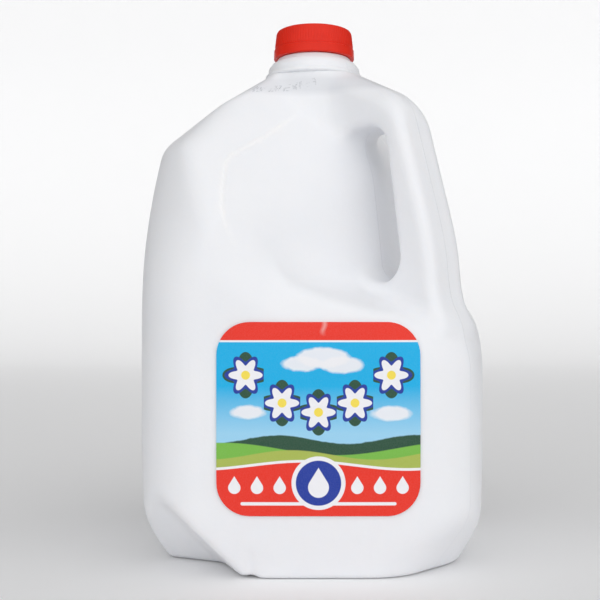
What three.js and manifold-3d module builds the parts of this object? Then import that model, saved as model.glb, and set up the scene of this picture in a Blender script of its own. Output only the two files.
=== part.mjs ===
import * as THREE from "three";
import { mergeVertices } from "three/addons/utils/BufferGeometryUtils.js";
import Module from "manifold-3d";

// One-gallon milk jug: a blow-moulded square bottle with a corner handle, a red snap cap and a label.
// Sizes are in millimetres. Z is up, the base stands on z = 0, and the handle points along +X.
// The mould's parting plane is y = 0, so both sides of the jug are alike.
// A wall faces each diagonal: "front" is the label wall's outward direction, and "across" runs along it.

// Body
const WALL_HALF = 75.8;            // centre to each of the four walls, low on the body
const WALL_BULGE = 3.0;            // how far the milk pushes each wall's middle out
const CORNER_LOW = 27;             // corner radius beside the label
const CORNER_HIGH = 36;            // corner radius below the shoulder
const CORNER_POWER = 1.5;          // how full those upper corners are: 2 is round, 1 a flat bevel
const TAPER_START = 125;           // height where the walls start to lean in
const TAPER = 0.00018;             // how fast they lean in, with the height to the power 2.5
const TAPER_POWER = 2.5;

// Shoulder
const SHOULDER_Z = 192.8;          // height of the shoulder's lower edge
const SHOULDER_HALF = 68.2;        // centre to that edge
const SHOULDER_SLOPE = 0.8;        // rise for each millimetre inwards

// Hand space: the wall behind the handle, and the shelf under it
const PANEL_AT_RIM = 74.7;         // wall distance where the panel leaves the front-left corner
const PANEL_RIM_ACROSS = -34.5;
const PANEL_RIM_Z = 143;
const PANEL_TURN = 0.68;           // how fast the panel falls back towards the handle
const PANEL_LEAN = 0.11;
const PANEL_TOP_Z = 195;
const PANEL_TOP_LEAN = 0.45;
const PARTING_ROUNDING = 2.4;
const RIM_SHARP = 1.5;             // rounding where the panel leaves the wall
const RIM_SOFT = 14;               // more rounding, low on the far side from the handle
const LIP_FRONT = 79.6;            // the wall under the shelf starts to lean in here
const LIP_Z = 104;
const LIP_LEAN = 0.33;
const SHELF_Z = 122.8;
const SHELF_FALL = 0.32;
const SHELF_CURVE = 0.0022;
const SHELF_RISE = 0.287;

// Handle
const HANDLE_OUTER = 83.2;         // axis to the handle's outer face, at its foot
const HANDLE_LEAN = 0.295;
const HANDLE_FOOT_Z = 143;
const FLARE = 0.6;                 // how fast the corner swells out below the handle
const FLARE_Z = 121;
const HANDLE_TOP_Z = 243;        // the handle's top line, carried back to the axis
const HANDLE_TOP_FALL = 0.48;
const HANDLE_HALF_WIDTH = 12.5;
const HANDLE_ROOF = 0.5;           // how fast the top falls to both sides
const HANDLE_RIDGE = 4;            // half the width of its flat middle
const HANDLE_LOW_Z = 108;
const GAP_TOP = { x: 45.6, z: 189.6 };
const GAP_BOTTOM = { x: 53, z: 140.6 };
const GAP_RADIUS = 11.6;

// Cheeks: the corner under the handle leans back to both sides
const CHEEK_DISTANCE = 92;
const CHEEK_ANGLE = THREE.MathUtils.degToRad(25);
const CHEEK_LEAN = 0.62;
const CHEEK_Z = 101;

// Foot
const FOOT_HALF = 68.3;
const FOOT_WALL_SLOPE = 0.42;
const FOOT_HANDLE_CORNER = 74.5;
const FOOT_HANDLE_CORNER_SLOPE = 0.8;
const FOOT_NOTCH = 53.7;           // centre to the notch at the corners beside the handle's
const FOOT_NOTCH_SLOPE = 1.0;
const FOOT_NOTCH_END = 3;          // how fast the notch ends towards the other two corners

// Neck and cap
const NECK_RADIUS = 22.8;
const NECK_SIDES = 40;
const COLLAR_RADIUS = 23.6;
const COLLAR_Z = 234.5;
const CAP_RADIUS = 20;
const CAP_BOTTOM_Z = 241.2;
const CAP_TOP_Z = 255;
const CAP_RIBS = 40;
const GAP = 0.3;                   // clearance between pieces that touch

// Label
const LABEL_WIDTH = 86.4;
const LABEL_HEIGHT = 82.2;
const LABEL_CORNER = 14;
const LABEL_ACROSS = 1.9;
const LABEL_Z = 70.4;
const LABEL_THICKNESS = 0.3;
const LABEL_CLEARANCE = 0.45;       // the wall has flat facets, so the label stands a little clear of them

// The skin's faces follow a grid, closer where the shape is finer.
// Each row is a start, an end and a number of steps.
const GRID = {
  x: [[-103, 28, 13], [28, 102, 13]],
  y: [[-103, -16, 9], [-16, 16, 8], [16, 103, 9]],
  z: [[-3, 3, 2], [3, 30, 4], [30, 100, 6], [100, 130, 5], [130, 187, 8], [187, 242, 8]],
};

const { hypot, abs, min, max, sin, cos, atan, log1p, exp, PI } = Math;
const clamp = THREE.MathUtils.clamp;
const smoothstep = THREE.MathUtils.smoothstep;

// The larger of two distances, with the edge between them rounded over a width.
function roundedMax(a, b, width) {
  const share = clamp(0.5 + (0.5 * (a - b)) / width, 0, 1);
  return b + (a - b) * share + width * share * (1 - share);
}

// The smaller of two distances, with the inner corner between them filled over a width.
function filletedMin(a, b, width) {
  return -roundedMax(-a, -b, width);
}

// Zero below 0 and a straight line above it, with a soft bend.
function softRamp(value, width) {
  const scaled = value / width;
  return width * (max(scaled, 0) + log1p(exp(-abs(scaled))));
}

// Distance outside a square with round corners. A power below 2 flattens each corner towards a bevel.
function roundedSquare(u, v, half, radius, power) {
  const du = abs(u) - (half - radius);
  const dv = abs(v) - (half - radius);
  const corner = (max(du, 0) ** power + max(dv, 0) ** power) ** (1 / power);
  return corner + min(max(du, dv), 0) - radius;
}

// Each shape function below returns a distance in millimetres: below 0 inside, above 0 outside.

function walls(front, across, z) {
  const half = WALL_HALF - TAPER * max(z - TAPER_START, 0) ** TAPER_POWER;
  const bulge = WALL_BULGE * smoothstep(z, 5, 60) * (1 - 0.75 * smoothstep(z, 110, 185));
  const radius = CORNER_LOW + (CORNER_HIGH - CORNER_LOW) * smoothstep(z, 110, 180);
  const swell = (along) => bulge * max(1 - (along / WALL_HALF) ** 2, 0);
  const power = 2 - (2 - CORNER_POWER) * smoothstep(z, 120, 165);
  return roundedSquare(abs(front) - swell(across), abs(across) - swell(front), half, radius, power);
}

function shoulder(front, across, z) {
  const inset = roundedSquare(front, across, SHOULDER_HALF, CORNER_HIGH, CORNER_POWER);
  return (inset + (z - SHOULDER_Z) / SHOULDER_SLOPE) * sin(atan(SHOULDER_SLOPE));
}

// The panel behind the handle and the shelf below it, on both sides of the parting plane.
function handSpace(front, across, z) {
  const rim = PANEL_AT_RIM - PANEL_LEAN * (z - PANEL_RIM_Z) - PANEL_TOP_LEAN * softRamp(z - PANEL_TOP_Z, 4);
  const panel = (front - rim + PANEL_TURN * (across - PANEL_RIM_ACROSS)) / hypot(1, PANEL_TURN);
  const edge = SHELF_Z - SHELF_FALL * across + SHELF_CURVE * across * across;
  const shelf = (z - edge - SHELF_RISE * (WALL_HALF - front)) / hypot(1, SHELF_RISE);
  return filletedMin(panel, shelf, 26 - 18 * smoothstep(across, -35, 5));
}

// The wall under the hand space leans in towards the shelf.
function lip(front, across, z) {
  const lean = LIP_LEAN * smoothstep(across, -40, -5) * softRamp(z - LIP_Z, 3);
  return (front - LIP_FRONT + lean) / hypot(1, LIP_LEAN);
}

function outerCorner(x, z) {
  const lean = HANDLE_LEAN * softRamp(z - HANDLE_FOOT_Z, 5);
  const flare = FLARE * softRamp(FLARE_Z - z, 6);
  return (x - HANDLE_OUTER + lean - flare) / hypot(1, HANDLE_LEAN);
}

function cheeks(x, y, z) {
  const reach = cos(CHEEK_ANGLE) * x + sin(CHEEK_ANGLE) * abs(y);
  return (reach - CHEEK_DISTANCE + CHEEK_LEAN * softRamp(z - CHEEK_Z, 5)) / hypot(1, CHEEK_LEAN);
}

function fingerGap(x, z) {
  const dx = GAP_BOTTOM.x - GAP_TOP.x;
  const dz = GAP_BOTTOM.z - GAP_TOP.z;
  const along = clamp(((x - GAP_TOP.x) * dx + (z - GAP_TOP.z) * dz) / (dx * dx + dz * dz), 0, 1);
  const outward = x - GAP_TOP.x - along * dx;
  return hypot(outward < 0 ? outward / 2 : outward, z - GAP_TOP.z - along * dz) - GAP_RADIUS;
}

function handle(x, y, z) {
  const roof = HANDLE_ROOF * max(abs(y) - HANDLE_RIDGE, 0);
  const top = (z - HANDLE_TOP_Z + HANDLE_TOP_FALL * x + roof) / hypot(1, HANDLE_TOP_FALL);
  let side = roundedMax(outerCorner(x, z), top, 8);
  side = roundedMax(side, HANDLE_LOW_Z - z, 6);
  side = roundedMax(side, NECK_RADIUS / 2 - x, 2);
  side = roundedMax(side, z - COLLAR_Z, 2);
  const bar = roundedMax(side, abs(y) - HANDLE_HALF_WIDTH, 6);
  return roundedMax(bar, -fingerGap(x, z), 5);
}

// The heels lean in to the base, with a notch between two feet at each corner beside the handle's.
function foot(x, y, z) {
  const front = abs(x - y) / Math.SQRT2;
  const across = abs(x + y) / Math.SQRT2;
  const wallHeel = roundedMax(front, across, 4) - FOOT_HALF - FOOT_WALL_SLOPE * z;
  const handleCorner = abs(x) - FOOT_HANDLE_CORNER - FOOT_HANDLE_CORNER_SLOPE * z;
  const firstEnd = 0.92 * across + 0.39 * front;
  const secondEnd = 0.92 * front + 0.39 * across;
  let notch = filletedMin(firstEnd, secondEnd, 4) - FOOT_NOTCH - FOOT_NOTCH_SLOPE * z;
  notch -= FOOT_NOTCH_END * max(abs(x) - abs(y), 0);
  let heel = roundedMax(
    wallHeel / hypot(1, FOOT_WALL_SLOPE),
    handleCorner / hypot(1, FOOT_HANDLE_CORNER_SLOPE),
    8,
  );
  heel = roundedMax(heel, notch / hypot(1, FOOT_NOTCH_SLOPE), 3);
  return roundedMax(heel, -z, 2.5);
}

function bottle(x, y, z) {
  const front = (x - y) / Math.SQRT2;
  const across = (x + y) / Math.SQRT2;
  const aside = hypot(y, PARTING_ROUNDING);
  const nearFront = (x + aside) / Math.SQRT2;
  const nearAcross = (x - aside) / Math.SQRT2;
  const faded = (1 - smoothstep(nearAcross, -22, -4)) * (1 - smoothstep(z, 135, 165));
  let body = roundedMax(walls(front, across, z), shoulder(front, across, z), 3);
  body = roundedMax(body, handSpace(nearFront, nearAcross, z), RIM_SHARP + RIM_SOFT * faded);
  body = roundedMax(body, lip(nearFront, nearAcross, z), 4);
  body = roundedMax(body, outerCorner(x, z), 6);
  body = roundedMax(body, cheeks(x, aside, z), 8);
  body = filletedMin(body, handle(x, y, z), 6 + 6 * smoothstep(z, 200, 214));
  const neckRoot = roundedMax(hypot(x, y) - NECK_RADIUS, abs(z - 218) - 14, 1);
  body = filletedMin(body, neckRoot, 6);
  body = roundedMax(body, z - COLLAR_Z - 2, 1);
  return roundedMax(body, foot(x, y, z), 4);
}

// Moves a point onto the surface where the shape's distance equals a given offset.
function settle(point, shape, offset = 0) {
  const step = 0.05;
  for (let turn = 0; turn < 6; turn += 1) {
    const { x, y, z } = point;
    const value = shape(x, y, z) - offset;
    const slope = new THREE.Vector3(
      shape(x + step, y, z) - shape(x - step, y, z),
      shape(x, y + step, z) - shape(x, y - step, z),
      shape(x, y, z + step) - shape(x, y, z - step),
    ).divideScalar(2 * step);
    point.addScaledVector(slope, -value / max(slope.lengthSq(), 0.05));
  }
  return point;
}

// The places of the grid's lines along one axis.
function gridLines(rows) {
  const lines = rows.flatMap(([start, end, steps]) => (
    Array.from({ length: steps }, (unused, n) => start + ((end - start) * n) / steps)
  ));
  return [...lines, rows[rows.length - 1][1]];
}

// Covers a shape with four-sided faces, one corner in each grid cell that its surface passes through.
function skinOf(shape, grid) {
  const lines = [gridLines(grid.x), gridLines(grid.y), gridLines(grid.z)];
  const count = lines.map((places) => places.length);
  const at = (axis, index) => lines[axis][index];
  const along = (axis, index, step, share) => {
    const start = lines[axis][index];
    return step === 0 ? start : start + share * (lines[axis][index + 1] - start);
  };
  const key = (i, j, k) => (k * count[1] + j) * count[0] + i;
  const values = new Float64Array(count[0] * count[1] * count[2]);
  for (let k = 0; k < count[2]; k += 1) {
    for (let j = 0; j < count[1]; j += 1) {
      for (let i = 0; i < count[0]; i += 1) values[key(i, j, k)] = shape(at(0, i), at(1, j), at(2, k));
    }
  }
  const corners = [];
  for (let n = 0; n < 8; n += 1) corners.push([n & 1, (n >> 1) & 1, (n >> 2) & 1]);
  const edges = [];
  corners.forEach((a, p) => corners.forEach((b, q) => {
    if (p < q && hypot(a[0] - b[0], a[1] - b[1], a[2] - b[2]) === 1) edges.push([a, b]);
  }));
  const points = [];
  const numberOf = new Map();
  const cornerIn = (i, j, k) => {
    const name = key(i, j, k);
    if (numberOf.has(name)) return numberOf.get(name);
    const middle = new THREE.Vector3();
    let crossings = 0;
    edges.forEach(([a, b]) => {
      const va = values[key(i + a[0], j + a[1], k + a[2])];
      const vb = values[key(i + b[0], j + b[1], k + b[2])];
      if ((va < 0) === (vb < 0)) return;
      const t = va / (va - vb);
      middle.x += along(0, i + a[0], b[0] - a[0], t);
      middle.y += along(1, j + a[1], b[1] - a[1], t);
      middle.z += along(2, k + a[2], b[2] - a[2], t);
      crossings += 1;
    });
    numberOf.set(name, points.length);
    points.push(settle(middle.divideScalar(crossings), shape));
    return points.length - 1;
  };
  const faces = [];
  const addFace = (a, b, c, d, flip) => {
    const ring = flip ? [a, d, c, b] : [a, b, c, d];
    const [p, q, r, s] = ring.map((n) => points[n]);
    if (p.distanceTo(r) <= q.distanceTo(s)) faces.push(ring[0], ring[1], ring[2], ring[0], ring[2], ring[3]);
    else faces.push(ring[1], ring[2], ring[3], ring[1], ring[3], ring[0]);
  };
  for (let k = 0; k < count[2] - 1; k += 1) {
    for (let j = 0; j < count[1] - 1; j += 1) {
      for (let i = 0; i < count[0] - 1; i += 1) {
        const here = values[key(i, j, k)] < 0;
        if (here !== values[key(i + 1, j, k)] < 0) {
          addFace(
            cornerIn(i, j - 1, k - 1),
            cornerIn(i, j, k - 1),
            cornerIn(i, j, k),
            cornerIn(i, j - 1, k),
            !here,
          );
        }
        if (here !== values[key(i, j + 1, k)] < 0) {
          addFace(
            cornerIn(i - 1, j, k - 1),
            cornerIn(i - 1, j, k),
            cornerIn(i, j, k),
            cornerIn(i, j, k - 1),
            !here,
          );
        }
        if (here !== values[key(i, j, k + 1)] < 0) {
          addFace(
            cornerIn(i - 1, j - 1, k),
            cornerIn(i, j - 1, k),
            cornerIn(i, j, k),
            cornerIn(i - 1, j, k),
            !here,
          );
        }
      }
    }
  }
  const geometry = new THREE.BufferGeometry();
  geometry.setAttribute("position", new THREE.Float32BufferAttribute(points.flatMap((p) => p.toArray()), 3));
  geometry.setIndex(faces);
  return geometry;
}

// Turns an outline of [radius, height] points about the Z axis.
function turned(outline, segments) {
  const geometry = new THREE.LatheGeometry(outline.map(([r, h]) => new THREE.Vector2(r, h)), segments);
  geometry.rotateX(PI / 2);
  return geometry;
}

function neckGeometry() {
  return turned([
    [0, 222],
    [NECK_RADIUS - 3, 222],
    [NECK_RADIUS - 3, 228.5],
    [COLLAR_RADIUS, 230.8],
    [COLLAR_RADIUS, 232.2],
    [NECK_RADIUS + 0.1, 232.9],
    [NECK_RADIUS, 236.4],
    [NECK_RADIUS - 1.6, 238.6],
    [CAP_RADIUS - 0.2, 240.2],
    [CAP_RADIUS - 1.2, CAP_BOTTOM_Z - GAP],
    [0, CAP_BOTTOM_Z - GAP],
  ], NECK_SIDES);
}

// The cap has a plain tear band below, a small step, and fine ribs around its side above.
function capGeometry() {
  const bandTop = CAP_BOTTOM_Z + 4.6;
  const geometry = turned([
    [0, CAP_BOTTOM_Z],
    [CAP_RADIUS - 0.8, CAP_BOTTOM_Z],
    [CAP_RADIUS, CAP_BOTTOM_Z + 0.8],
    [CAP_RADIUS, bandTop - 0.4],
    [CAP_RADIUS - 0.7, bandTop],
    [CAP_RADIUS - 0.5, bandTop + 0.5],
    [CAP_RADIUS - 1.3, CAP_TOP_Z - 2],
    [CAP_RADIUS - 1.9, CAP_TOP_Z - 0.7],
    [CAP_RADIUS - 3.2, CAP_TOP_Z],
    [0, CAP_TOP_Z],
  ], 2 * CAP_RIBS);
  const place = geometry.attributes.position;
  for (let n = 0; n < place.count; n += 1) {
    const rib = Math.round((Math.atan2(place.getY(n), place.getX(n)) / PI) * CAP_RIBS);
    const ribbed = place.getZ(n) > bandTop + 0.2 && place.getZ(n) < CAP_TOP_Z - 1 && rib % 2 !== 0;
    const shrink = ribbed ? 1 - 0.35 / CAP_RADIUS : 1;
    place.setXY(n, place.getX(n) * shrink, place.getY(n) * shrink);
  }
  return geometry;
}

// Points around the label's rounded rectangle, as [across, height] from its centre.
function labelOutline() {
  const outline = [];
  const steps = 6;
  const reach = { across: LABEL_WIDTH / 2 - LABEL_CORNER, up: LABEL_HEIGHT / 2 - LABEL_CORNER };
  [[1, 1], [-1, 1], [-1, -1], [1, -1]].forEach(([side, level], quarter) => {
    for (let step = 0; step <= steps; step += 1) {
      const angle = ((quarter + step / steps) * PI) / 2;
      outline.push([
        side * reach.across + LABEL_CORNER * cos(angle),
        level * reach.up + LABEL_CORNER * sin(angle),
      ]);
    }
    const [across, up] = outline[outline.length - 1];
    const goesAcross = quarter % 2 === 0;
    for (let step = 1; step < steps; step += 1) {
      const share = 1 - (2 * step) / steps;
      outline.push(goesAcross ? [side * reach.across * share, up] : [across, level * reach.up * share]);
    }
  });
  return outline;
}

// A point at a given distance off the label wall.
function offTheWall(across, z, distance) {
  let front = WALL_HALF + 8;
  for (let turn = 0; turn < 12; turn += 1) {
    front -= bottle((front + across) / Math.SQRT2, (across - front) / Math.SQRT2, z) - distance;
  }
  return new THREE.Vector3((front + across) / Math.SQRT2, (across - front) / Math.SQRT2, z);
}

// The label is a thin sheet that follows the wall.
function labelGeometry() {
  const outline = labelOutline();
  const rings = [1, 0.84, 0.66, 0.44, 0.22];
  const around = outline.length;
  const points = [];
  [LABEL_CLEARANCE, LABEL_CLEARANCE + LABEL_THICKNESS].forEach((distance) => {
    rings.forEach((size) => outline.forEach(([across, up]) => {
      points.push(offTheWall(LABEL_ACROSS + size * across, LABEL_Z + size * up, distance));
    }));
    points.push(offTheWall(LABEL_ACROSS, LABEL_Z, distance));
  });
  const side = rings.length * around + 1;
  const faces = [];
  const addFace = (a, b, c, outer) => {
    if (outer) faces.push(side + a, side + b, side + c);
    else faces.push(a, c, b);
  };
  [false, true].forEach((outer) => {
    for (let n = 0; n < around; n += 1) {
      const next = (n + 1) % around;
      for (let ring = 0; ring < rings.length - 1; ring += 1) {
        const here = ring * around;
        const inner = here + around;
        addFace(here + n, here + next, inner + next, outer);
        addFace(here + n, inner + next, inner + n, outer);
      }
      const last = (rings.length - 1) * around;
      addFace(last + n, last + next, side - 1, outer);
    }
  });
  for (let n = 0; n < around; n += 1) {
    const next = (n + 1) % around;
    faces.push(n, next, side + next, n, side + next, side + n);
  }
  const geometry = new THREE.BufferGeometry();
  geometry.setAttribute("position", new THREE.Float32BufferAttribute(points.flatMap((p) => p.toArray()), 3));
  geometry.setIndex(faces);
  return geometry;
}

const wasm = await Module();
wasm.setup();

function toSolid(geometry) {
  const bare = geometry.clone();
  bare.deleteAttribute("normal");
  bare.deleteAttribute("uv");
  const welded = mergeVertices(bare, 1e-4);
  return new wasm.Manifold(new wasm.Mesh({
    tolerance: 0.01,
    numProp: 3,
    vertProperties: Float32Array.from(welded.attributes.position.array),
    triVerts: Uint32Array.from(welded.index.array),
  }));
}

function toGeometry(solid) {
  const mesh = solid.getMesh();
  const geometry = new THREE.BufferGeometry();
  geometry.setAttribute("position", new THREE.BufferAttribute(mesh.vertProperties, 3));
  geometry.setIndex(new THREE.BufferAttribute(mesh.triVerts, 1));
  return geometry;
}

function part(name, geometry, color, roughness) {
  geometry.computeVertexNormals();
  const mesh = new THREE.Mesh(geometry, new THREE.MeshStandardMaterial({ color, roughness, metalness: 0 }));
  mesh.name = name;
  return mesh;
}

const skin = skinOf(bottle, GRID);
const bottleGeometry = toGeometry(toSolid(skin).add(toSolid(neckGeometry())));

const jug = new THREE.Group();
jug.name = "milk_jug";
jug.add(part("bottle", bottleGeometry, 0xf2f3f6, 0.45));
jug.add(part("cap", capGeometry(), 0xdd3a20, 0.4));
jug.add(part("label", labelGeometry(), 0xf1f1f4, 0.4));

export default jug;
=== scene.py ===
import math

import bpy
import numpy as np
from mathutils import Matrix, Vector


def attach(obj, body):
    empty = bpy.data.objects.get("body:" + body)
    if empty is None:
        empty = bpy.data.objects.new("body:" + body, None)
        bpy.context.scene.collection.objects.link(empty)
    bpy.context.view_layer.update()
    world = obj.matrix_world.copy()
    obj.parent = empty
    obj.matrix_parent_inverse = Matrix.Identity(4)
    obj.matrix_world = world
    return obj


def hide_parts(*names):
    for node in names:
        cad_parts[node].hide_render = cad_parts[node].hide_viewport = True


# One-gallon milk jug in a plain studio: a blow-moulded bottle full of milk, a snap cap and a printed label.
# Lengths in this file are millimetres, turned into metres where a mesh is made. Z is up, the handle points
# along +X, and the label's wall faces (+X, -Y). Across a wall, "across" runs level from the wall's middle
# and "front" runs straight out of the wall.
MM = 0.001
ROOT2 = math.sqrt(2)

# Body
WALL_HALF = 75.8
WALL_BULGE = 3.0
CORNER_LOW = 27
CORNER_HIGH = 36
CORNER_POWER = 1.5
TAPER_START = 125
TAPER = 0.00018
TAPER_POWER = 2.5

# Shoulder
SHOULDER_Z = 192.8
SHOULDER_HALF = 68.2
SHOULDER_SLOPE = 0.8

# Hand space: the wall behind the handle, and the shelf under it
PANEL_AT_RIM = 74.7
PANEL_RIM_ACROSS = -34.5
PANEL_RIM_Z = 143
PANEL_TURN = 0.68
PANEL_LEAN = 0.11
PANEL_TOP_Z = 195
PANEL_TOP_LEAN = 0.45
PANEL_ROOT = 9
PANEL_ROOT_START_Z = 184
PANEL_ROOT_END_Z = 206
PANEL_ROOT_ACROSS = 24
PANEL_EASE = 0.14
PANEL_EASE_ACROSS = -8
PARTING_ROUNDING = 2.4
RIM_ROUNDING = 1.5
RIM_SOFT_ROUNDING = 14
RIM_FADE_ACROSS = (-22, -4)
RIM_FADE_Z = (135, 165)
RIM_BEAD = 1.1
LIP_FRONT = 79.6
LIP_Z = 104
LIP_LEAN = 0.33
SHELF_Z = 122.8
SHELF_FALL = 0.32
SHELF_CURVE = 0.0022
SHELF_RISE = 0.287
SHELF_FILLET = 26
SHELF_FILLET_AT_HANDLE = 8

# Handle
HANDLE_OUTER = 83.2
HANDLE_LEAN = 0.295
HANDLE_FOOT_Z = 143
FLARE = 0.6
FLARE_Z = 121
HANDLE_TOP_Z = 243
HANDLE_TOP_FALL = 0.48
HANDLE_HALF_WIDTH = 12.5
HANDLE_ROOF = 0.5
HANDLE_RIDGE = 4
HANDLE_LOW_Z = 108
GAP_TOP = (45.6, 189.6)
GAP_BOTTOM = (53, 140.6)
GAP_RADIUS = 11.6
GAP_TO_BODY = 15

# Cheeks: the corner under the handle leans back to both sides
CHEEK_DISTANCE = 92
CHEEK_ANGLE = math.radians(25)
CHEEK_LEAN = 0.62
CHEEK_Z = 101

# Foot
FOOT_HALF = 68.3
FOOT_WALL_SLOPE = 0.42
FOOT_HANDLE_CORNER = 74.5
FOOT_HANDLE_CORNER_SLOPE = 0.8
FOOT_NOTCH = 53.7
FOOT_NOTCH_SLOPE = 1.0
FOOT_NOTCH_ALONG = 0.92
FOOT_NOTCH_OUT = 0.39
FOOT_NOTCH_END = 3
DENT_ACROSS = -27
DENT_DEPTH = 1.2
DENT_WIDTH = 3

# Neck and cap
NECK_RADIUS = 22.8
NECK_ROOT_LOW_Z = 204
NECK_ROOT_HIGH_Z = 232
COLLAR_RADIUS = NECK_RADIUS + 1.3
SKIN_TOP_Z = 231.2
HANDLE_ROOT_TOP_Z = 234.5
CAP_RADIUS = 20
CAP_BOTTOM_Z = 241.2
CAP_TOP_Z = 255
CAP_BAND_HEIGHT = 4.6
CAP_RIBS = 90
CAP_RIB_HEIGHT = 0.16

# Label
LABEL_WIDTH = 86.4
LABEL_HEIGHT = 82.2
LABEL_CORNER = 14
LABEL_ACROSS = 1.9
LABEL_Z = 70.4
LABEL_CLEARANCE = 0.45
LABEL_THICKNESS = 0.3

SKIN_CELL = 1.5

# Camera: level, straight in front of the label's wall. The picture's side is in pixels.
CAMERA_DISTANCE = 505
CAMERA_Z = 117
CAMERA_LENS = 60.6
PICTURE_SIDE = 600

# Paper sweep behind the jug
SWEEP_DEPTH = 1500
SWEEP_BEND = 900
SWEEP_NEAR = 3000
SWEEP_TOP = 1300
SWEEP_HALF_WIDTH = 1400

# Studio light: a soft glow that is strongest from ahead of the label, a little above and to the right
LIGHT_FROM = (0.76, -0.554, 0.34)
LIGHT_AROUND = 0.17
LIGHT_AHEAD = 1.36


# Shape of the bottle: each function gives a distance that is below 0 inside and above 0 outside.

def rounded_max(a, b, width):
    """The larger of two distances, with the edge between them rounded over a width."""
    share = np.clip(0.5 + 0.5 * (a - b) / width, 0, 1)
    return b + (a - b) * share + width * share * (1 - share)


def filleted_min(a, b, width):
    """The smaller of two distances, with the inner corner between them filled over a width."""
    return -rounded_max(-a, -b, width)


def smoothstep(value, low, high):
    share = np.clip((value - low) / (high - low), 0, 1)
    return share * share * (3 - 2 * share)


def soft_ramp(value, width):
    """Zero below 0 and a straight line above it, with a soft bend."""
    return width * np.logaddexp(0, value / width)


def rounded_square(u, v, half, radius, power):
    """Distance outside a square with round corners. A power below 2 flattens each corner towards a bevel."""
    du = np.abs(u) - (half - radius)
    dv = np.abs(v) - (half - radius)
    corner = (np.maximum(du, 0) ** power + np.maximum(dv, 0) ** power) ** (1 / power)
    return corner + np.minimum(np.maximum(du, dv), 0) - radius


def walls(front, across, z):
    half = WALL_HALF - TAPER * np.maximum(z - TAPER_START, 0) ** TAPER_POWER
    bulge = WALL_BULGE * smoothstep(z, 5, 60) * (1 - 0.75 * smoothstep(z, 110, 185))
    radius = CORNER_LOW + (CORNER_HIGH - CORNER_LOW) * smoothstep(z, 110, 180)
    front_swell = bulge * np.maximum(1 - (across / WALL_HALF) ** 2, 0)
    side_swell = bulge * np.maximum(1 - (front / WALL_HALF) ** 2, 0)
    power = 2 - (2 - CORNER_POWER) * smoothstep(z, 120, 165)
    return rounded_square(np.abs(front) - front_swell, np.abs(across) - side_swell, half, radius, power)


def shoulder(front, across, z):
    inset = rounded_square(front, across, SHOULDER_HALF, CORNER_HIGH, CORNER_POWER)
    return (inset + (z - SHOULDER_Z) / SHOULDER_SLOPE) * math.sin(math.atan(SHOULDER_SLOPE))


def hand_space(front, across, z):
    """The panel behind the handle and the shelf below it, on both sides of the parting plane.

    The panel turns in towards the handle, less so near it, and swells where it meets the handle's root.
    """
    rim = PANEL_AT_RIM - PANEL_LEAN * (z - PANEL_RIM_Z) - PANEL_TOP_LEAN * soft_ramp(z - PANEL_TOP_Z, 4)
    root = smoothstep(z, PANEL_ROOT_START_Z, PANEL_ROOT_END_Z) * smoothstep(across, 0, PANEL_ROOT_ACROSS)
    rim = rim + PANEL_ROOT * root + PANEL_EASE * soft_ramp(across - PANEL_EASE_ACROSS, 6)
    panel = (front - rim + PANEL_TURN * (across - PANEL_RIM_ACROSS)) / math.hypot(1, PANEL_TURN)
    edge = SHELF_Z - SHELF_FALL * across + SHELF_CURVE * across * across
    shelf = (z - edge - SHELF_RISE * (WALL_HALF - front)) / math.hypot(1, SHELF_RISE)
    narrowing = smoothstep(across, -35, 5)
    return filleted_min(panel, shelf, SHELF_FILLET + (SHELF_FILLET_AT_HANDLE - SHELF_FILLET) * narrowing)


def lip(front, across, z):
    """The wall under the hand space leans in towards the shelf."""
    lean = LIP_LEAN * smoothstep(across, -40, -5) * soft_ramp(z - LIP_Z, 3)
    return (front - LIP_FRONT + lean) / math.hypot(1, LIP_LEAN)


def outer_corner(x, z):
    lean = HANDLE_LEAN * soft_ramp(z - HANDLE_FOOT_Z, 5)
    flare = FLARE * soft_ramp(FLARE_Z - z, 6)
    return (x - HANDLE_OUTER + lean - flare) / math.hypot(1, HANDLE_LEAN)


def cheeks(x, y, z):
    reach = math.cos(CHEEK_ANGLE) * x + math.sin(CHEEK_ANGLE) * np.abs(y)
    return (reach - CHEEK_DISTANCE + CHEEK_LEAN * soft_ramp(z - CHEEK_Z, 5)) / math.hypot(1, CHEEK_LEAN)


def finger_gap(x, z):
    """A leaning slot seen from the side, stretched to twice its width towards the body."""
    dx = GAP_BOTTOM[0] - GAP_TOP[0]
    dz = GAP_BOTTOM[1] - GAP_TOP[1]
    along = np.clip(((x - GAP_TOP[0]) * dx + (z - GAP_TOP[1]) * dz) / (dx * dx + dz * dz), 0, 1)
    outward = x - GAP_TOP[0] - along * dx
    outward = np.where(outward < 0, outward / 2, outward)
    return np.hypot(outward, z - GAP_TOP[1] - along * dz) - GAP_RADIUS


def handle(x, y, z):
    """A bar from the neck down to the corner, with a roof sloped to both sides and a finger gap."""
    roof = HANDLE_ROOF * np.maximum(np.abs(y) - HANDLE_RIDGE, 0)
    top = (z - HANDLE_TOP_Z + HANDLE_TOP_FALL * x + roof) / math.hypot(1, HANDLE_TOP_FALL)
    side = rounded_max(outer_corner(x, z), top, 8)
    side = rounded_max(side, HANDLE_LOW_Z - z, 6)
    side = rounded_max(side, NECK_RADIUS / 2 - x, 2)
    side = rounded_max(side, z - HANDLE_ROOT_TOP_Z, 2)
    bar = rounded_max(side, np.abs(y) - HANDLE_HALF_WIDTH, 6)
    return rounded_max(bar, -finger_gap(x, z), 5)


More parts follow.
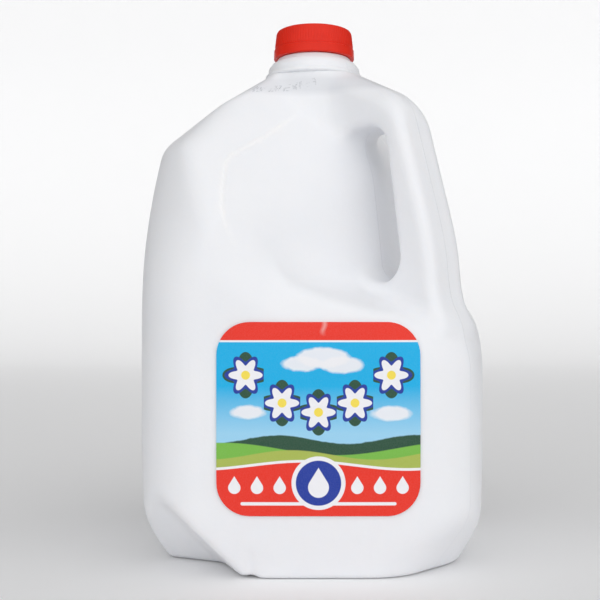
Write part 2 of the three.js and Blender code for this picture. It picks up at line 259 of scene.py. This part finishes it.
def foot(x, y, z):
    """The heels that lean in to the base, with a notch between two feet at each corner beside the handle."""
    front = np.abs(x - y) / ROOT2
    across = np.abs(x + y) / ROOT2
    wall_heel = rounded_max(front, across, 4) - FOOT_HALF - FOOT_WALL_SLOPE * z
    handle_corner = np.abs(x) - FOOT_HANDLE_CORNER - FOOT_HANDLE_CORNER_SLOPE * z
    first_end = FOOT_NOTCH_ALONG * across + FOOT_NOTCH_OUT * front
    second_end = FOOT_NOTCH_ALONG * front + FOOT_NOTCH_OUT * across
    notch = filleted_min(first_end, second_end, 4) - FOOT_NOTCH - FOOT_NOTCH_SLOPE * z
    notch = notch - FOOT_NOTCH_END * np.maximum(np.abs(x) - np.abs(y), 0)
    heel = rounded_max(
        wall_heel / math.hypot(1, FOOT_WALL_SLOPE),
        handle_corner / math.hypot(1, FOOT_HANDLE_CORNER_SLOPE),
        8,
    )
    heel = rounded_max(heel, notch / math.hypot(1, FOOT_NOTCH_SLOPE), 3)
    return rounded_max(heel, -z, 2.5)


def bottle_shape(x, y, z):
    """The whole bottle up to the collar. The rim of the hand space is softest low down on the wall."""
    front = (x - y) / ROOT2
    across = (x + y) / ROOT2
    aside = np.hypot(y, PARTING_ROUNDING)
    near_front = (x + aside) / ROOT2
    near_across = (x - aside) / ROOT2
    body = rounded_max(walls(front, across, z), shoulder(front, across, z), 3)
    space = hand_space(near_front, near_across, z)
    faded = (1 - smoothstep(near_across, *RIM_FADE_ACROSS)) * (1 - smoothstep(z, *RIM_FADE_Z))
    body = rounded_max(body, space, RIM_ROUNDING + RIM_SOFT_ROUNDING * faded)
    body = rounded_max(body, -finger_gap(x - GAP_TO_BODY, z), 5)
    body = rounded_max(body, lip(near_front, near_across, z), 4)
    body = rounded_max(body, outer_corner(x, z), 6)
    body = rounded_max(body, cheeks(x, aside, z), 8)
    body = filleted_min(body, handle(x, y, z), 6 + 6 * smoothstep(z, 200, 214))
    neck_middle = (NECK_ROOT_LOW_Z + NECK_ROOT_HIGH_Z) / 2
    neck_half = (NECK_ROOT_HIGH_Z - NECK_ROOT_LOW_Z) / 2
    neck_root = rounded_max(np.hypot(x, y) - NECK_RADIUS, np.abs(z - neck_middle) - neck_half, 1)
    body = filleted_min(body, neck_root, 6)
    body = rounded_max(body, z - SKIN_TOP_Z, 1)
    dent = DENT_DEPTH * np.exp(-((across - DENT_ACROSS) / DENT_WIDTH) ** 2) * (1 - smoothstep(z, 6, 18))
    return rounded_max(body, foot(x, y, z) + dent * (front > 0), 4)


def rim_shape(x, y, z):
    """A distance that is 0 on the edge where the hand space leaves the wall."""
    front = (x - y) / ROOT2
    across = (x + y) / ROOT2
    near_front = (x + np.abs(y)) / ROOT2
    near_across = (x - np.abs(y)) / ROOT2
    body = rounded_max(walls(front, across, z), shoulder(front, across, z), 3)
    return body - hand_space(near_front, near_across, z)


# Mesh making

def slopes(shape, points, step=0.05):
    """How the distance changes at each point, along X, Y and Z."""
    columns = []
    for axis in range(3):
        shift = np.zeros(3)
        shift[axis] = step
        ahead = shape(*(points + shift).T)
        behind = shape(*(points - shift).T)
        columns.append((ahead - behind) / (2 * step))
    return np.stack(columns, 1)


def settle(shape, points, turns=5):
    """Moves points onto the surface where the shape's distance is 0."""
    for turn in range(turns):
        slope = slopes(shape, points)
        length = np.maximum((slope * slope).sum(1), 0.05)
        points = points - slope * (shape(*points.T) / length)[:, None]
    return points


def skin_of(shape, low, high, cell):
    """Points and four-sided faces over a shape, with one point in each grid cell that it crosses."""
    lines = [np.arange(start, end + cell, cell) for start, end in zip(low, high)]
    inside_values = shape(*np.meshgrid(*lines, indexing="ij"))
    inside = inside_values < 0
    cells = [len(places) - 1 for places in lines]
    total = np.zeros(cells + [3])
    crossings = np.zeros(cells)
    edges = []
    for axis in range(3):
        first = np.moveaxis(inside, axis, 0)[:-1]
        second = np.moveaxis(inside, axis, 0)[1:]
        index = np.argwhere(np.moveaxis(first != second, 0, axis))
        after = index.copy()
        after[:, axis] += 1
        here = inside_values[tuple(index.T)]
        there = inside_values[tuple(after.T)]
        place = index.astype(float)
        place[:, axis] += here / (here - there)
        edges.append((index, here < 0))
        others = [n for n in range(3) if n != axis]
        for back_first in (0, 1):
            for back_second in (0, 1):
                cell_index = index.copy()
                cell_index[:, others[0]] -= back_first
                cell_index[:, others[1]] -= back_second
                np.add.at(total, tuple(cell_index.T), place)
                np.add.at(crossings, tuple(cell_index.T), 1)
    active = crossings > 0
    number = np.full(cells, -1)
    number[active] = np.arange(active.sum())
    points = total[active] / crossings[active][:, None] * cell + np.array([places[0] for places in lines])
    faces = []
    for axis, (index, goes_out) in enumerate(edges):
        step_a = np.eye(3, dtype=int)[(axis + 1) % 3]
        step_b = np.eye(3, dtype=int)[(axis + 2) % 3]
        around = [index - step_a - step_b, index - step_b, index, index - step_a]
        ring = np.stack([number[tuple(corner.T)] for corner in around], 1)
        faces.append(np.where(goes_out[:, None], ring, ring[:, ::-1]))
    return settle(shape, points), np.concatenate(faces)


def make_mesh(name, points, faces, sharp_degrees=None):
    """An object from points in millimetres, shaded smooth, with edges sharper than an angle kept sharp."""
    mesh = bpy.data.meshes.new(name)
    mesh.from_pydata((np.asarray(points) * MM).tolist(), [], [list(map(int, face)) for face in faces])
    mesh.update()
    mesh.shade_smooth()
    if sharp_degrees is not None:
        mesh.set_sharp_from_angle(angle=math.radians(sharp_degrees))
    piece = bpy.data.objects.new(name, mesh)
    bpy.context.scene.collection.objects.link(piece)
    return piece


def turned(name, outline, segments, sharp_degrees=40, ripple=None):
    """Turns (radius, height) points about the Z axis. The first and last lie on the axis."""
    points = [(0, 0, outline[0][1])]
    for radius, height in outline[1:-1]:
        for n in range(segments):
            angle = 2 * math.pi * n / segments
            out = radius + (ripple(angle, height) if ripple else 0)
            points.append((out * math.cos(angle), out * math.sin(angle), height))
    points.append((0, 0, outline[-1][1]))
    last = len(points) - 1
    rows = len(outline) - 2
    faces = []
    for n in range(segments):
        after = (n + 1) % segments
        faces.append((0, 1 + after, 1 + n))
        for row in range(rows - 1):
            low = 1 + row * segments
            high = low + segments
            faces.append((low + n, low + after, high + after, high + n))
        top = 1 + (rows - 1) * segments
        faces.append((top + n, top + after, last))
    return make_mesh(name, points, faces, sharp_degrees)


def rounded(outline, radius, steps=4):
    """An outline with each inner corner replaced by a small arc."""
    result = [outline[0]]
    for before, corner, after in zip(outline, outline[1:], outline[2:]):
        before, corner, after = (Vector(point) for point in (before, corner, after))
        reach = min(radius, (corner - before).length / 2.1, (after - corner).length / 2.1)
        start = corner + (before - corner).normalized() * reach
        end = corner + (after - corner).normalized() * reach
        for step in range(steps + 1):
            share = step / steps
            first = start.lerp(corner, share)
            second = corner.lerp(end, share)
            result.append(tuple(first.lerp(second, share)))
    return result + [outline[-1]]


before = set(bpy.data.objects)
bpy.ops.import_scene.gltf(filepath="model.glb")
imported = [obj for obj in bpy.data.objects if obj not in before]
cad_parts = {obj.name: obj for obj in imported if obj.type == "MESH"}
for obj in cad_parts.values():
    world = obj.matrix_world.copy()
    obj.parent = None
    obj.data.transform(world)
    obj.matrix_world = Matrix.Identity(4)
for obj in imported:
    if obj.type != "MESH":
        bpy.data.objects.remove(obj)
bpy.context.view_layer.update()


def rim_bead_and_highlight(points):
    """1 on the fine bead between the wall and the hand space, 0 away from it. The bead is raised by a bump
    and also carries a painted highlight.
    """
    x, y, z = points.T
    distance = rim_shape(x, y, z) / np.linalg.norm(slopes(rim_shape, points), axis=1)
    near_across = (x - np.abs(y)) / ROOT2
    away_from_handle = 1 - smoothstep(near_across, -16, -6)
    return np.exp(-(distance / RIM_BEAD) ** 2) * away_from_handle * smoothstep(z, 140, 165)


def make_bottle():
    points, faces = skin_of(bottle_shape, (-102, -102, -4), (102, 102, 240), SKIN_CELL)
    bottle = make_mesh("bottle_skin", points, faces)
    # The rim attribute raises the fine bead by a bump and paints a highlight along it.
    rim = bottle.data.attributes.new("rim", "FLOAT", "POINT")
    rim.data.foreach_set("value", rim_bead_and_highlight(points))
    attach(bottle, "root")
    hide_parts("bottle")
    return bottle


def make_neck():
    """The finish of the bottle: a collar ring, a shoulder and a groove right under the cap."""
    outline = [
        (0, 222),
        (NECK_RADIUS - 0.6, 222),
        (NECK_RADIUS - 0.4, 230.6),
        (COLLAR_RADIUS, 231.2),
        (COLLAR_RADIUS, 232.4),
        (NECK_RADIUS, 233.4),
        (NECK_RADIUS - 0.3, 236),
        (CAP_RADIUS + 0.6, 238.4),
        (CAP_RADIUS - 1.8, 239),
        (CAP_RADIUS - 1.8, CAP_BOTTOM_Z - 0.2),
        (0, CAP_BOTTOM_Z - 0.2),
    ]
    neck = turned("bottle_neck", rounded(outline, 0.5), 128)
    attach(neck, "root")
    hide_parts("bottle")
    return neck


def cap_rib(angle, z):
    """How far a rib stands out. The ribs run from the lower band to the top's rounding."""
    above_band = smoothstep(z, CAP_BOTTOM_Z + 5, CAP_BOTTOM_Z + 6)
    below_top = 1 - smoothstep(z, CAP_TOP_Z - 2, CAP_TOP_Z - 1)
    return CAP_RIB_HEIGHT * above_band * below_top * math.cos(angle * CAP_RIBS)


def make_cap():
    """A shut cap with a lower band, a small step above it and fine ribs up to its rounded top."""
    band_top = CAP_BOTTOM_Z + CAP_BAND_HEIGHT
    outline = [
        (0, CAP_BOTTOM_Z),
        (CAP_RADIUS - 0.3, CAP_BOTTOM_Z),
        (CAP_RADIUS, CAP_BOTTOM_Z + 0.3),
        (CAP_RADIUS - 0.1, band_top - 0.3),
        (CAP_RADIUS - 0.7, band_top),
        (CAP_RADIUS - 0.6, band_top + 0.6),
        (CAP_RADIUS - 0.7, band_top + 1.6),
    ]
    top = rounded([outline[-1], (CAP_RADIUS - 1.5, CAP_TOP_Z), (0, CAP_TOP_Z)], 1.6)
    cap = turned("cap_shell", outline + top[1:], 4 * CAP_RIBS, ripple=cap_rib)
    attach(cap, "root")
    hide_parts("cap")
    return cap


def off_the_wall(across, z, distance):
    """Points at a distance off the label's wall."""
    front = np.full_like(across, WALL_HALF + 8)
    for turn in range(12):
        front = front - (bottle_shape((front + across) / ROOT2, (across - front) / ROOT2, z) - distance)
    return np.stack([(front + across) / ROOT2, (across - front) / ROOT2, z], 1)


def label_rings():
    """Rings of points from the label's rounded edge to its middle, as (across, height) from its centre."""
    angles = np.linspace(0, math.pi / 2, 13)
    reach_u = LABEL_WIDTH / 2 - LABEL_CORNER
    reach_v = LABEL_HEIGHT / 2 - LABEL_CORNER
    outline = []
    for quarter, (side, level) in enumerate(((1, 1), (-1, 1), (-1, -1), (1, -1))):
        turn = angles + quarter * math.pi / 2
        corner_u = side * reach_u + LABEL_CORNER * np.cos(turn)
        corner_v = level * reach_v + LABEL_CORNER * np.sin(turn)
        outline += list(zip(corner_u, corner_v))
        u, v = outline[-1]
        for share in np.linspace(1, -1, 17)[1:-1]:
            outline.append((side * reach_u * share, v) if quarter % 2 == 0 else (u, level * reach_v * share))
    outline = np.array(outline)
    sizes = np.concatenate([[1], np.linspace(0.985, 0.04, 24)])
    return [outline * size for size in sizes]


def make_label():
    rings = label_rings()
    around = len(rings[0])
    flat = np.concatenate(rings + [np.zeros((1, 2))])
    across = LABEL_ACROSS + flat[:, 0]
    height = LABEL_Z + flat[:, 1]
    outer = off_the_wall(across, height, LABEL_CLEARANCE + LABEL_THICKNESS)
    inner = off_the_wall(across[:around], height[:around], LABEL_CLEARANCE)
    points = np.concatenate([outer, inner])
    middle = len(flat) - 1
    faces = []
    for n in range(around):
        after = (n + 1) % around
        for ring in range(len(rings) - 1):
            here = ring * around
            faces.append((here + n, here + after, here + around + after, here + around + n))
        last = (len(rings) - 1) * around
        faces.append((last + n, last + after, middle))
        faces.append((after, n, middle + 1 + n, middle + 1 + after))
    label = make_mesh("label_sheet", points, faces, 50)
    places = np.concatenate([flat, flat[:around]])
    layer = label.data.uv_layers.new(name="label_mm")
    corners = np.empty(len(label.data.loops), dtype=int)
    label.data.loops.foreach_get("vertex_index", corners)
    layer.data.foreach_set("uv", (places[corners] / LABEL_WIDTH + 0.5).ravel())
    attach(label, "root")
    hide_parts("label")
    return label


# Studio

def make_camera():
    camera = bpy.data.objects.new("camera", bpy.data.cameras.new("camera"))
    bpy.context.scene.collection.objects.link(camera)
    distance = CAMERA_DISTANCE * MM
    camera.location = (distance / ROOT2, -distance / ROOT2, CAMERA_Z * MM)
    camera.rotation_euler = (math.pi / 2, 0, math.pi / 4)
    camera.data.lens = CAMERA_LENS
    camera.data.sensor_width = 36
    camera.data.shift_x = -14 / PICTURE_SIDE
    camera.data.shift_y = 9 / PICTURE_SIDE
    bpy.context.scene.camera = camera


def make_sweep():
    """Pale paper: a floor that curves up into a wall behind the jug."""
    bend_steps = 24
    profile = [(SWEEP_NEAR, 0), (-SWEEP_DEPTH, 0)]
    for n in range(1, bend_steps + 1):
        angle = math.pi / 2 * n / bend_steps
        profile.append((-SWEEP_DEPTH - SWEEP_BEND * math.sin(angle), SWEEP_BEND * (1 - math.cos(angle))))
    profile.append((-SWEEP_DEPTH - SWEEP_BEND, SWEEP_TOP))
    points = []
    for toward, height in profile:
        for sideways in (-SWEEP_HALF_WIDTH, SWEEP_HALF_WIDTH):
            points.append(((toward + sideways) / ROOT2, (sideways - toward) / ROOT2, height))
    faces = [(2 * n, 2 * n + 1, 2 * n + 3, 2 * n + 2) for n in range(len(profile) - 1)]
    sweep = make_mesh("sweep", points, faces)
    material = bpy.data.materials.new("sweep_paper")
    material.use_nodes = True
    shader = material.node_tree.nodes["Principled BSDF"]
    shader.inputs["Base Color"].default_value = (0.93, 0.93, 0.935, 1)
    shader.inputs["Roughness"].default_value = 0.9
    sweep.data.materials.append(material)


def make_world():
    """Soft light, strongest from one direction and falling off to the sides."""
    world = bpy.data.worlds.new("studio")
    bpy.context.scene.world = world
    world.use_nodes = True
    nodes = world.node_tree.nodes
    links = world.node_tree.links
    place = nodes.new("ShaderNodeTexCoord")
    toward = nodes.new("ShaderNodeVectorMath")
    toward.operation = "DOT_PRODUCT"
    toward.inputs[1].default_value = LIGHT_FROM
    links.new(place.outputs["Generated"], toward.inputs[0])
    strength = nodes.new("ShaderNodeMapRange")
    strength.inputs["From Min"].default_value = 0
    strength.inputs["From Max"].default_value = 1
    strength.inputs["To Min"].default_value = LIGHT_AROUND
    strength.inputs["To Max"].default_value = LIGHT_AROUND + LIGHT_AHEAD
    links.new(toward.outputs["Value"], strength.inputs["Value"])
    links.new(strength.outputs["Result"], nodes["Background"].inputs["Strength"])
    nodes["Background"].inputs["Color"].default_value = (1, 1, 1, 1)


# Materials

class Field:
    """A number that varies over a surface, worked out by shader nodes."""

    def __init__(self, tree, socket):
        self.tree = tree
        self.socket = socket

    def math(self, operation, *others):
        node = self.tree.nodes.new("ShaderNodeMath")
        node.operation = operation
        for place, value in zip(node.inputs, (self, *others)):
            if isinstance(value, Field):
                self.tree.links.new(value.socket, place)
            else:
                place.default_value = value
        return Field(self.tree, node.outputs[0])

    def __add__(self, other):
        return self.math("ADD", other)

    def __sub__(self, other):
        return self.math("SUBTRACT", other)

    def __mul__(self, other):
        return self.math("MULTIPLY", other)

    def __truediv__(self, other):
        return self.math("DIVIDE", other)

    def __neg__(self):
        return self * -1

    def __abs__(self):
        return self.math("ABSOLUTE")

    def clamped(self):
        node = self.tree.nodes.new("ShaderNodeClamp")
        self.tree.links.new(self.socket, node.inputs["Value"])
        return Field(self.tree, node.outputs[0])


def larger(a, b):
    return a.math("MAXIMUM", b)


def smaller(a, b):
    return a.math("MINIMUM", b)


def length(a, b):
    return (a * a + b * b).math("SQRT")


def filled(distance, softness=0.25):
    """1 where a distance is below 0, 0 where it is above, with a soft edge."""
    return (-(distance / softness) + 0.5).clamped()


def folded(value, spacing, most):
    """A coordinate repeated at a spacing, up to a number of times each way."""
    turn = (value / spacing).math("ROUND")
    turn = smaller(larger(turn, -most), most)
    return value - turn * spacing


class Material:
    """A material, the coordinates it is drawn in and the shader that it ends in."""

    def __init__(self, name, roughness, specular=0.5):
        self.data = bpy.data.materials.new(name)
        self.data.use_nodes = True
        self.tree = self.data.node_tree
        self.shader = self.tree.nodes["Principled BSDF"]
        self.shader.inputs["Roughness"].default_value = roughness
        self.shader.inputs["Specular IOR Level"].default_value = specular
        self.coordinates = self.tree.nodes.new("ShaderNodeTexCoord")

    def axes(self, output, scale, shift=0.0):
        split = self.tree.nodes.new("ShaderNodeSeparateXYZ")
        self.tree.links.new(self.coordinates.outputs[output], split.inputs[0])
        return [(Field(self.tree, axis) + shift) * scale for axis in split.outputs]

    def noise(self, size_mm, detail=2.0, stretch=(1, 1, 1)):
        """Noise from 0 to 1, with features of about a size in millimetres."""
        mapping = self.tree.nodes.new("ShaderNodeMapping")
        mapping.inputs["Scale"].default_value = [1 / (size_mm * MM * along) for along in stretch]
        self.tree.links.new(self.coordinates.outputs["Object"], mapping.inputs["Vector"])
        texture = self.tree.nodes.new("ShaderNodeTexNoise")
        texture.inputs["Scale"].default_value = 1
        texture.inputs["Detail"].default_value = detail
        self.tree.links.new(mapping.outputs["Vector"], texture.inputs["Vector"])
        return Field(self.tree, texture.outputs["Fac"])

    def color(self, rgb):
        node = self.tree.nodes.new("ShaderNodeRGB")
        node.outputs[0].default_value = (*linear(rgb), 1)
        return node.outputs[0]

    def mix(self, share, first, second):
        """first where share is 0 and second where it is 1."""
        node = self.tree.nodes.new("ShaderNodeMix")
        node.data_type = "RGBA"
        self.tree.links.new(share.socket, node.inputs["Factor"])
        self.tree.links.new(first, node.inputs["A"])
        self.tree.links.new(second, node.inputs["B"])
        return node.outputs["Result"]

    def paint(self, below, share, rgb):
        return self.mix(share, below, self.color(rgb))

    def attribute(self, name):
        node = self.tree.nodes.new("ShaderNodeAttribute")
        node.attribute_name = name
        return Field(self.tree, node.outputs["Fac"])

    def set_color(self, socket):
        self.tree.links.new(socket, self.shader.inputs["Base Color"])

    def set_roughness(self, field):
        self.tree.links.new(field.socket, self.shader.inputs["Roughness"])

    def set_height(self, height_mm):
        """Bumps of a height in millimetres."""
        bump = self.tree.nodes.new("ShaderNodeBump")
        bump.inputs["Distance"].default_value = MM
        self.tree.links.new(height_mm.socket, bump.inputs["Height"])
        self.tree.links.new(bump.outputs["Normal"], self.shader.inputs["Normal"])


def linear(rgb):
    """A colour as shown on a screen, from 0 to 255, as linear light."""
    return [(c / 255 / 12.92) if c / 255 <= 0.04045 else ((c / 255 + 0.055) / 1.055) ** 2.4 for c in rgb]


# A grey band painted around the foot of the neck, under the collar
NECK_FOOT_GREY = (214, 216, 221)
NECK_FOOT_BAND_Z = 224
NECK_FOOT_BAND_HALF = 4.4


def bottle_material():
    """Milky polyethylene: cloudy, satin, with a parting line and small waves from the mould, a grey band
    painted at the foot of the neck and a painted highlight along the rim's bead.
    """
    plastic = Material("bottle_plastic", 0.45, 0.3)
    x, y, z = plastic.axes("Object", 1 / MM)
    cloud = plastic.noise(26, 3)
    grain = plastic.noise(1.6, 2)
    fine = plastic.noise(0.5, 1)
    waves = plastic.noise(34, 1, (1, 1, 2.2))
    color = plastic.mix(cloud, plastic.color((240, 242, 246)), plastic.color((246, 246, 249)))
    color = plastic.paint(color, (grain * 0.10).clamped(), (226, 229, 238))
    # Grey band painted around the foot of the neck.
    neck_foot_band = filled(abs(z - NECK_FOOT_BAND_Z) - NECK_FOOT_BAND_HALF, 3.5)
    color = plastic.paint(color, neck_foot_band * 0.5, NECK_FOOT_GREY)
    seam = filled(abs(y) - 0.25, 0.5)
    color = plastic.paint(color, seam * 0.18, (214, 217, 226))
    rim = plastic.attribute("rim")
    # Painted highlight along the bead at the rim of the hand space.
    color = plastic.paint(color, rim * 0.8, (253, 253, 254))
    color = plastic.paint(color, sprayed_marks(plastic, x, y, z) * 0.65, (120, 124, 134))
    plastic.set_color(color)
    plastic.set_roughness(grain * 0.16 + 0.34)
    plastic.set_height(waves * 0.5 + grain * 0.035 + fine * 0.012 + seam * 0.12 + rim * 0.35)
    shader = plastic.shader
    shader.inputs["Subsurface Weight"].default_value = 0.25
    shader.inputs["Subsurface Radius"].default_value = (1.0, 0.92, 0.85)
    shader.inputs["Subsurface Scale"].default_value = 3 * MM
    return plastic.data


# The sprayed marks around the foot of the neck
MARKS_RADIUS = 34
MARKS_ANGLE = math.atan2(-1, 0.42)
MARKS_Z = 223.3
MARKS_SLANT = 0.16
DOT_STEP = 0.75


def sprayed_marks(plastic, x, y, z):
    """A row of small sprayed dots around the foot of the neck, in groups of no particular order."""
    around = y.math("ARCTAN2", x) * MARKS_RADIUS
    u = around - MARKS_ANGLE * MARKS_RADIUS
    v = z - MARKS_Z - u * MARKS_SLANT
    group = folded(u, 4.4, 3)
    in_group = filled(larger(abs(group) - 1.55, abs(v) - 1.9), 0.3)
    dot = filled(length(folded(u, DOT_STEP, 60), folded(v, DOT_STEP, 60)) - 0.26, 0.3)
    chosen = ((plastic.noise(1.1, 0) - 0.47) * 14).clamped()
    faded = ((plastic.noise(6, 1) - 0.30) * 4).clamped()
    return in_group * dot * chosen * faded


def cap_material():
    """Red polyethylene, semi-gloss, a little uneven."""
    plastic = Material("cap_plastic", 0.4, 0.22)
    cloud = plastic.noise(5, 3)
    grain = plastic.noise(0.7, 2)
    color = plastic.mix(cloud, plastic.color((222, 38, 18)), plastic.color((238, 46, 22)))
    color = plastic.paint(color, (grain * 0.12).clamped(), (200, 30, 20))
    plastic.set_color(color)
    plastic.set_roughness(grain * 0.2 + 0.28)
    plastic.set_height(grain * 0.03 + cloud * 0.08)
    plastic.shader.inputs["Subsurface Weight"].default_value = 0.08
    plastic.shader.inputs["Subsurface Radius"].default_value = (1.0, 0.25, 0.15)
    plastic.shader.inputs["Subsurface Scale"].default_value = 1.5 * MM
    return plastic.data


# Colours of the label's print
PRINT_RED = (238, 48, 28)
PRINT_SKY = (0, 178, 234)
PRINT_HAZE = (158, 214, 244)
PRINT_BLUE = (28, 58, 160)
PRINT_LEAF = (122, 188, 72)
PRINT_FOREST = (38, 80, 58)
PRINT_MEADOW = (172, 188, 84)
PRINT_WHITE = (244, 244, 248)
PRINT_YELLOW = (250, 226, 84)

# The print's layout, in millimetres from the label's middle. A cloud is (across, up, width).
CLOUDS = ((2, 26, 11), (-7, 23.5, 8), (10, 23, 9), (-30, 3, 7), (31, 2.5, 8))
CLOUD_FLATNESS = 2.6
TOP_BAND_V = 33.4
TREES_V = -8.5
HILL_V = -12.5
MEADOW_V = -15
FIELD_V = -20
DROPS_V = -29
DROPS_STEP = 9.6
BAR_V = -35.8
GARLAND_STEP = 15.4
GARLAND_LOW = 3
GARLAND_SAG = 0.0165
SIGN_V = -27
SIGN_RADIUS = 11.4


def pill(u, v, half_width, half_height):
    """Distance outside a bar with round ends."""
    return length(larger(abs(u) - (half_width - half_height), 0), v) - half_height


def drop(u, v, size):
    """Distance outside a drop: a disc, with a point above it that meets the disc smoothly."""
    tip = 1.9 * size
    lean = math.asin(size / tip)
    point = larger(abs(u) * math.cos(lean) + (v - tip) * math.sin(lean), -(v - size * math.sin(lean)))
    return smaller(length(u, v) - size, point)


def daisy(u, v, radius, petals):
    """Distance outside a flower with rounded petals."""
    angle = v.math("ARCTAN2", u) * petals
    return length(u, v) - (angle.math("COSINE") * (radius * 0.22) + radius * 0.78)


def sine_wave(along, height, wave_length, start=0.0):
    return (along * (2 * math.pi / wave_length) + start).math("SINE") * height


def label_print(film, u, v):
    """The label's print: red fields, sky and hills, a hanging garland of daisies and a round drop sign."""
    sky = ((v + 6) / 20).clamped()
    color = film.mix(sky, film.color(PRINT_HAZE), film.color(PRINT_SKY))

    rough = (film.noise(3.2, 4) - 0.5) * 3.4
    for at_u, at_v, wide in CLOUDS:
        puff = length(u - at_u, (v - at_v) * CLOUD_FLATNESS) - wide + rough
        color = film.paint(color, filled(puff, 2.5) * 0.92, PRINT_WHITE)

    trees = v - TREES_V - sine_wave(u, 1.8, 58, 3.4) + rough * 0.22
    color = film.paint(color, filled(trees, 0.5), PRINT_FOREST)
    hill = v - HILL_V - sine_wave(u, 2.6, 96, 4.2)
    color = film.paint(color, filled(hill, 0.4), PRINT_LEAF)
    meadow = v - MEADOW_V - sine_wave(u, 2.0, 70, 2.6)
    color = film.paint(color, filled(meadow, 0.4), PRINT_MEADOW)

    field = v - FIELD_V - sine_wave(u, 1.8, 90, 2.0)
    color = film.paint(color, filled(field - 1.1), PRINT_WHITE)
    color = film.paint(color, filled(field), PRINT_RED)
    color = film.paint(color, filled(-(v - TOP_BAND_V + 0.8)), PRINT_WHITE)
    color = film.paint(color, filled(-(v - TOP_BAND_V)), PRINT_RED)

    petal_u = folded(u, GARLAND_STEP, 2)
    middle_u = u - petal_u
    petal_v = v - GARLAND_LOW - middle_u * middle_u * GARLAND_SAG
    leaves = daisy(petal_u, petal_v, 9.8, 4)
    flower = daisy(petal_u, petal_v, 7.2, 6)
    color = film.paint(color, filled(leaves), PRINT_FOREST)
    color = film.paint(color, filled(flower - 1.7), PRINT_BLUE)
    color = film.paint(color, filled(flower), PRINT_WHITE)
    color = film.paint(color, filled(length(petal_u, petal_v) - 1.9), PRINT_YELLOW)

    color = film.paint(color, filled(pill(u, v - BAR_V, 33, 0.7)), PRINT_WHITE)
    row_u = folded(abs(u) - 26, DROPS_STEP, 1)
    color = film.paint(color, filled(drop(row_u, v - DROPS_V, 2.6)), PRINT_WHITE)
    sign_v = v - SIGN_V
    color = film.paint(color, filled(length(u, sign_v) - SIGN_RADIUS), PRINT_WHITE)
    color = film.paint(color, filled(length(u, sign_v) - SIGN_RADIUS + 1.8), PRINT_BLUE)
    return film.paint(color, filled(drop(u, sign_v + 1.8, 4.4)), PRINT_WHITE)


def label_material():
    """Printed film with a soft gloss, a small crease at its upper edge and fine ink grain."""
    film = Material("label_film", 0.4, 0.12)
    u, v, unused = film.axes("UV", LABEL_WIDTH, -0.5)
    color = label_print(film, u, v)
    ink = film.noise(0.55, 2)
    color = film.paint(color, (ink * 0.05).clamped(), (255, 255, 255))
    crease = filled(abs(u - 2.2 + sine_wave(v, 0.5, 7)) - 0.7, 1.6) * filled(-(v - 36.5), 3)
    color = film.paint(color, crease * 0.4, (255, 236, 232))
    film.set_color(color)
    film.set_roughness(ink * 0.12 + 0.3)
    ripple = film.noise(14, 2, (1, 1, 2))
    film.set_height(ripple * 0.16 + crease * 0.2 + film.noise(0.9, 1) * 0.008)
    return film.data


bottle = make_bottle()
neck = make_neck()
cap = make_cap()
label = make_label()
milky = bottle_material()
bottle.data.materials.append(milky)
neck.data.materials.append(milky)
cap.data.materials.append(cap_material())
label.data.materials.append(label_material())

make_camera()
make_world()
make_sweep()
bpy.context.scene.view_settings.view_transform = "Standard"
